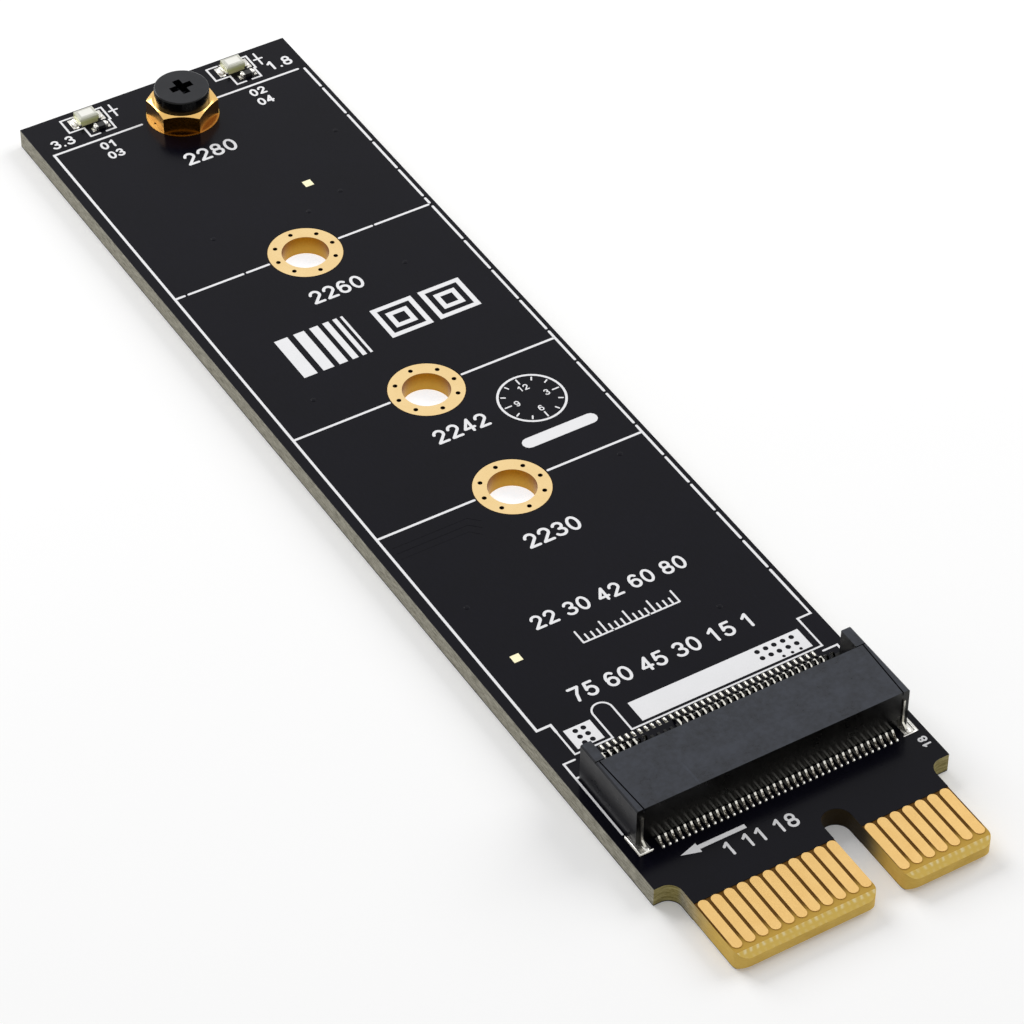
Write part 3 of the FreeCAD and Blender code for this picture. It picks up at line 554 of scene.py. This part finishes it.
class Film:
    """Flat shapes of one finish that stand a little above the card's face."""

    def __init__(self, name, finish, thickness=0.015):
        self.name, self.finish, self.thickness = name, finish, thickness
        self.form = bmesh.new()
        self.lines = 0

    def fill(self, *loops, lift=0.0):
        """A patch with its outline first and then its holes."""
        edges = []
        for loop in loops:
            spots = [self.form.verts.new((across, along, 0.0)) for across, along in loop]
            edges += [self.form.edges.new(pair) for pair in zip(spots, spots[1:] + spots[:1])]
        made = bmesh.ops.triangle_fill(self.form, use_beauty=True, use_dissolve=False, edges=edges,
                                       normal=(0, 0, 1))
        self.raise_up([item for item in made["geom"] if isinstance(item, bmesh.types.BMFace)], lift)

    def raise_up(self, faces, lift):
        grown = bmesh.ops.extrude_face_region(self.form, geom=faces, use_keep_orig=True)
        upper = [item for item in grown["geom"] if isinstance(item, bmesh.types.BMVert)]
        bmesh.ops.translate(self.form, vec=(0, 0, self.thickness + lift), verts=upper)

    def line(self, *points, width=LINE):
        """A line with round ends, on the next of the levels, so that it never coincides with the
        one before it where they cross."""
        self.lines += 1
        self.fill(pen_line(points, width), lift=HAIR * (1 + self.lines % LEVELS))

    def numerals(self, text, across, along, height, turn=0.0, weight=0.155):
        """Plain numbers, centred on a spot."""
        pen = height * weight
        tall = height - pen
        lean, rise = math.cos(math.radians(turn)), math.sin(math.radians(turn))
        steps = [NARROW_SPACING.get(sign, SPACING) * height for sign in text]
        start = -sum(steps) / 2
        for sign, step in zip(text, steps):
            left = start + (step - SIGN_WIDTH * tall) / 2
            for stroke in SIGNS[sign]:
                level = [(left + x * tall, (y - 0.5) * tall) for x, y in stroke]
                self.line(*[(across + x * lean - y * rise, along + x * rise + y * lean) for x, y in level],
                          width=pen)
            start += step

    def lay(self, slot=None, smooth=False):
        """Put the shapes on the card as one piece."""
        bmesh.ops.recalc_face_normals(self.form, faces=self.form.faces)
        mesh = bpy.data.meshes.new(self.name)
        self.form.to_mesh(mesh)
        self.form.free()
        mesh.transform(Matrix.Translation(place(0, 0)) @ Matrix.Scale(MM, 4))
        for face in mesh.polygons:
            face.use_smooth = smooth
        mesh.materials.append(FINISHES[self.finish])
        piece = bpy.data.objects.new(self.name, mesh)
        bpy.context.scene.collection.objects.link(piece)
        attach(piece, "root")


class Mounds(Film):
    """Rounded drops, such as solder, that stand on the card."""

    def drop(self, across, along, half_width, half_length, height, lean=0.0):
        """A drop whose top leans along the card."""
        rings, count = 5, 12
        rows = []
        for ring in range(rings):
            share = ring / rings
            spread = math.sqrt(1 - share ** 2)
            rows.append([self.form.verts.new((across + half_width * spread * math.cos(turn),
                                              along + half_length * spread * math.sin(turn) + lean * share,
                                              height * math.sqrt(share)))
                         for turn in turns(0, 360, count)[:-1]])
        peak = self.form.verts.new((across, along + lean, height))
        for lower, upper in zip(rows, rows[1:]):
            for step in range(count):
                after = (step + 1) % count
                self.form.faces.new((lower[step], lower[after], upper[after], upper[step]))
        for step in range(count):
            self.form.faces.new((rows[-1][step], rows[-1][(step + 1) % count], peak))
        self.form.faces.new(rows[0][::-1])


def dashes(ink, across, start, end, first, pitch):
    """A dashed line along the card, from its far end to its near one, with its gaps a pitch apart."""
    half_gap, shortest = 0.2, 0.3
    upper, gap = start, first
    while gap - half_gap > end + shortest:
        ink.line((across, upper), (across, gap + half_gap))
        upper, gap = gap - half_gap, gap - pitch
    ink.line((across, upper), (across, end))


def module_outline():
    """Where a module lies: its far ends for each length, its sides and its keyed near end."""
    ink = Film("print_module_outline", "print")
    left, right, neck = -11.0, 11.0, 9.92
    far_end, third_end, second_end, first_end = 80.0, 60.15, 42.1, 30.15
    near_end, step, key, key_radius = 5.65, 8.0, -6.2, 0.75
    key_top = step + 0.12
    ink.line((-3.4, far_end), (left, far_end), (left, 8.75), (-neck, 8.75), (-neck, step))
    ink.line((-neck, step), (-neck, near_end), (key - key_radius, near_end), (key - key_radius, key_top),
             *bow(key, key_top, key_radius, key_radius, 172, 8, 22), (key + key_radius, key_top),
             (key + key_radius, near_end), (neck, near_end), (neck, step), width=THIN_LINE)
    ink.line((neck, step), (neck, 8.65), (right, 8.65), (right, 10.2), width=FINE_LINE)
    ink.line((3.0, far_end), (10.5, far_end))
    for start, end, first_gap, pitch in ((79.8, 60.3, 77.0, 3.97), (59.8, second_end, 55.2, 4.03),
                                         (second_end, first_end, 39.1, 4.0), (first_end, 10.2, 27.2, 3.35)):
        dashes(ink, right, start, end, first_gap, pitch)
    for end in (second_end, first_end):
        ink.line((left, end), (-3.05, end))
        ink.line((3.05, end), (right, end))
    for start, end in ((left, -10.2), (-9.85, -5.25), (-4.9, -3.05), (3.0, 5.85), (6.15, 10.8)):
        ink.line((start, third_end), (end, third_end))
    ink.lay()


def socket_outline():
    ink = Film("print_socket_outline", "print")
    left = -11.05
    ink.line((-10.2, 5.25), (left, 5.25), (left, -2.0), width=FINE_LINE)
    ink.line((left, 3.75), (-10.8, 3.75), width=FINE_LINE)
    ink.line((9.7, 5.2), (10.85, 5.2), (10.85, 2.5), width=FINE_LINE)
    ink.lay()


def contact_blocks():
    """Two white blocks behind the socket, with rows of bare dots."""
    ink = Film("print_contact_blocks", "print")
    low, high, dot = 5.95, 7.85, 0.2
    ink.fill(rectangle(-9.5, -7.4, low, high),
             *[circle(across, along, dot) for across in (-8.78, -8.15) for along in (7.45, 6.85, 6.25)])
    ink.fill(rectangle(-4.4, 9.35, low, high),
             *[circle(across, along, dot) for across in (5.75, 6.45, 7.13, 7.85, 8.55)
               for along in (7.4, 6.72)],
             *[circle(across, 6.15, 0.13, 16) for across in (7.12, 7.82, 8.52)])
    ink.lay()


def lamp_prints():
    """Brackets round the lamps and resistors, with a plus beside each pair."""
    ink = Film("print_lamp_brackets", "print")
    strokes = [
        [(-7.75, 83.55), (-8.7, 83.55), (-8.7, 81.9), (-7.45, 81.9), (-7.45, 80.7), (-6.65, 80.7)],
        [(-6.1, 80.7), (-5.3, 80.7), (-5.3, 81.9)],
        [(-5.95, 83.55), (-5.15, 83.55), (-5.15, 81.9), (-5.3, 81.9)],
        [(-4.5, 82.0), (-4.5, 83.5)],
        [(-4.85, 82.75), (-4.15, 82.75)],
    ]
    for shift in (0.0, 12.9):
        for stroke in strokes:
            ink.line(*[(across + shift, along) for across, along in stroke], width=FINE_LINE)
    ink.lay()


def numbers():
    """The module lengths, and plain numbers at the other marked places."""
    ink = Film("print_numbers", "print")
    bold, bolder = 0.17, 0.19
    for text, across, along in (("2280", -0.4, 74.3), ("2260", -0.1, 55.05), ("2242", 0.0, 37.1),
                                ("2230", 0.0, 24.6)):
        ink.numerals(text, across, along, 1.47)
    ink.numerals("22 30 42 60 80", 0.2, 17.5, 1.35)
    ink.numerals("75 60 45 30 15 1", 0.0, 10.3, 1.42)
    ink.numerals("1 11 18", -3.3, -6.6, 1.25)
    ink.numerals("3.3", -9.7, 81.1, 1.05, weight=bold)
    ink.numerals("1.8", 9.6, 81.45, 1.15, weight=bold)
    for text, across, along in (("01", -6.75, 79.1), ("03", -6.75, 77.8), ("02", 6.4, 79.1),
                                ("04", 6.4, 77.8)):
        ink.numerals(text, across, along, 0.92, weight=bolder)
    ink.numerals("18", 10.7, -5.3, 0.7, turn=90.0, weight=bolder)
    ink.lay()


def width_gauge():
    """A gauge of bars, each thinner than the last, and two alignment squares."""
    ink = Film("print_gauges", "print")
    left = -7.0
    for width, gap in ((1.1, 0.5), (0.9, 0.45), (0.7, 0.4), (0.5, 0.35), (0.35, 0.3), (0.2, 0.0)):
        ink.fill(rectangle(left, left + width, 47.6, 52.2))
        left += width + gap
    along, band = 49.9, 0.4
    for across in (2.5, 6.6):
        for outer in (1.75, 0.9):
            inner = outer - band
            ink.fill(*[rectangle(across - half, across + half, along - half, along + half)
                       for half in (outer, inner)])
    ink.lay()


def dial():
    """A small dial with ticks and plain numbers over a rounded bar."""
    ink = Film("print_dial", "print")
    across, along, radius = 6.1, 37.3, 2.6
    ink.fill(circle(across, along, radius, 48), circle(across, along, radius - 0.18, 48))

    def spot(hour, reach):
        turn = math.radians(30 * hour)
        return across + reach * math.sin(turn), along + reach * math.cos(turn)

    for hour in range(12):
        ink.line(spot(hour, 1.95 if hour % 3 else 1.75), spot(hour, 2.25), width=0.12)
    for hour in (12, 3, 6, 9):
        ink.numerals(str(hour), *spot(hour, 1.25), 0.6)
    ink.line((3.4, 33.28), (8.6, 33.28), width=1.05)
    ink.lay()


def slot_arrow():
    """An arrow towards the first contact, and a scale under the numbers."""
    ink = Film("print_arrow", "print")
    ink.fill([(-8.8, -5.5), (-7.4, -5.92), (-7.4, -5.65), (-3.75, -5.65), (-3.75, -5.3), (-7.4, -5.3),
              (-7.4, -5.08)])
    reach, along, spaces = 3.9, 14.2, 16
    ink.line((-reach, along), (reach, along), width=THIN_LINE)
    for step in range(spaces + 1):
        across = -reach + step * 2 * reach / spaces
        ink.line((across, along), (across, 15.4 if step % 4 == 0 else 14.85), width=THIN_LINE)
    ink.lay()


def solder_row(name, contacts, along, half_width, half_length, lean):
    """A drop on each pad of a row of contacts, also where the row has a gap in it."""
    pitch, half_foot, height = 0.5, 0.08, 0.14
    low, high = corners(contacts)
    first, last = low.x + half_foot, high.x - half_foot
    row = Mounds(name, "solder")
    for number in range(round((last - first) / pitch) + 1):
        row.drop(first + number * pitch, along, half_width, half_length, height, lean)
    row.lay("tinned_pads", smooth=True)


def solder_joints():
    front, rear = "socket_contacts_upper", "socket_contacts_lower"
    front_toes, rear_toes = corners(front)[0].y, corners(rear)[1].y
    solder_row("solder_front_row", front, front_toes + 0.06, half_width=0.1, half_length=0.17, lean=0.03)
    solder_row("solder_rear_row", rear, rear_toes - 0.19, half_width=0.085, half_length=0.19, lean=-0.03)
    locks = Mounds("solder_board_locks", "solder", 0.06)
    for side, inset in (("left", 0.085), ("right", 0.155)):
        toe = corners(f"board_lock_{side}")[0]
        locks.drop(toe.x + inset, toe.y + 0.07, 0.2, 0.4, 0.16, lean=0.1)
    # the solder stands up along the pads' outer edges
    locks.line((-11.0, -2.3), (-11.0, -4.1), (-10.05, -4.1), width=THIN_LINE)
    locks.line((10.8, -3.15), (10.8, -4.2), (9.8, -4.2), width=THIN_LINE)
    locks.lay("tinned_pads", smooth=True)
    parts = Mounds("solder_lamps_and_resistors", "solder")
    for side in ("left", "right"):
        lamp_middle, resistor_middle = middle(f"lamp_{side}_base"), middle(f"resistor_{side}_body")
        for end in (-1, 1):
            parts.drop(lamp_middle.x + end * 1.1, lamp_middle.y, 0.27, 0.42, 0.2)
            parts.drop(resistor_middle.x + end * 0.47, resistor_middle.y, 0.2, 0.24, 0.4)
    parts.lay("tinned_steel", smooth=True)


def mask_relief():
    """Tented vias and copper tracks that show faintly through the mask."""
    bumps = Mounds("tented_vias", "mask")
    for across, along in ((-5.2, 64.9), (5.9, 65.05), (5.9, 55.2), (6.0, 12.4), (9.2, 71.7), (-9.0, 21.2),
                          (2.6, 64.1), (-7.6, 45.2), (8.4, 29.0)):
        bumps.drop(across, along, 0.2, 0.2, 0.03)
    bumps.lay("solder_mask", smooth=True)
    tracks = Film("covered_tracks", "mask", 0.008)
    for step in range(3):
        left, near = step * 0.8 - 2.6, step * 0.3 - 5.7
        tracks.line((left, near), (left + 6.4, near + 0.25), width=0.1)
        along, corner = 28.9 - step * 0.62, -4.4 - step * 0.3
        tracks.line((-10.4, along), (corner, along), (corner + 0.7, along - 0.7), width=0.13)
    tracks.lay("solder_mask")


module_outline()
socket_outline()
contact_blocks()
lamp_prints()
numbers()
width_gauge()
dial()
slot_arrow()
solder_joints()
mask_relief()


# ---------------------------------------------------------------- floor, light and camera

def grey(level):
    return (level, level, level, 1.0)


def floor_finish():
    """A white floor that is seen as plain white but for the card's shadow."""
    f = Finish("studio_floor", Roughness=0.9, Specular_IOR_Level=0.0)
    f.set("Base Color", f.mix(f.noise(40.0, 2), grey(0.90), grey(0.91)))
    # painted light: under the card the floor shows only through the fixing holes, and there it glows for
    # the camera and in reflections, as white as round the card, taking away the card's shadow there
    below_holes = f.under(abs(f.at("X")), 2.4, 2.8) * f.within(f.at("Y"), (27.0, 27.4), (62.6, 63.0))
    white = f.mix(below_holes, grey(0.14), (0.63, 0.67, 0.71, 1.0))
    f.set("Emission Color", f.mix(f.seen(), grey(0.0), white))
    f.set("Emission Strength", 1.0)
    return f.material


def floor():
    reach, drop = 3.0, 0.02 * MM
    mesh = bpy.data.meshes.new("floor")
    spots = [(across, along, -drop) for across, along in rectangle(-reach, reach, -reach, reach)]
    mesh.from_pydata(spots, [], [range(len(spots))])
    mesh.materials.append(floor_finish())
    plane = bpy.data.objects.new("floor", mesh)
    bpy.context.scene.collection.objects.link(plane)


def lamp(name, location, size, power):
    """A square soft lamp that is aimed at the card."""
    data = bpy.data.lights.new(name, "AREA")
    data.shape = "SQUARE"
    data.size, data.energy = size, power
    thing = bpy.data.objects.new(name, data)
    thing.location = location
    thing.rotation_euler = (-thing.location).to_track_quat("-Z", "Y").to_euler()
    bpy.context.scene.collection.objects.link(thing)


def world(strength):
    """A studio that lights the card gently, and is plain white where it is seen."""
    sky = bpy.data.worlds.new("studio")
    bpy.context.scene.world = sky
    sky.use_nodes = True
    w = Nodes(sky.node_tree)
    lit, plain = (w.node("ShaderNodeBackground", {}, grey(1.0), level) for level in (strength, 1.0))
    blend = w.node("ShaderNodeMixShader", {}, w.seen(), lit, plain)
    w.feed(w.kept("OUTPUT_WORLD").inputs["Surface"], blend)


def camera():
    """A long lens from the near left, set by its place, its bearing, its elevation and its roll."""
    data = bpy.data.cameras.new("camera")
    data.sensor_width, data.lens = 36.0, 147.46
    data.clip_start, data.clip_end = 0.01, 20.0
    thing = bpy.data.objects.new("camera", data)
    bpy.context.scene.collection.objects.link(thing)
    bearing, elevation, roll = math.radians(-31.722), math.radians(43.468), math.radians(0.66)
    turn = (Matrix.Rotation(bearing, 4, "Z") @ Matrix.Rotation(math.pi / 2 - elevation, 4, "X")
            @ Matrix.Rotation(roll, 4, "Z"))
    thing.matrix_world = Matrix.Translation(place(-114.025, -154.460, 203.078)) @ turn
    bpy.context.scene.camera = thing


floor()
world(0.44)
lamp("key", (0.50, 0.02, 0.36), 0.42, 1.5)
lamp("back_light", (-0.12, 0.52, 0.34), 0.36, 2.5)
camera()
bpy.context.scene.view_settings.view_transform = "Standard"
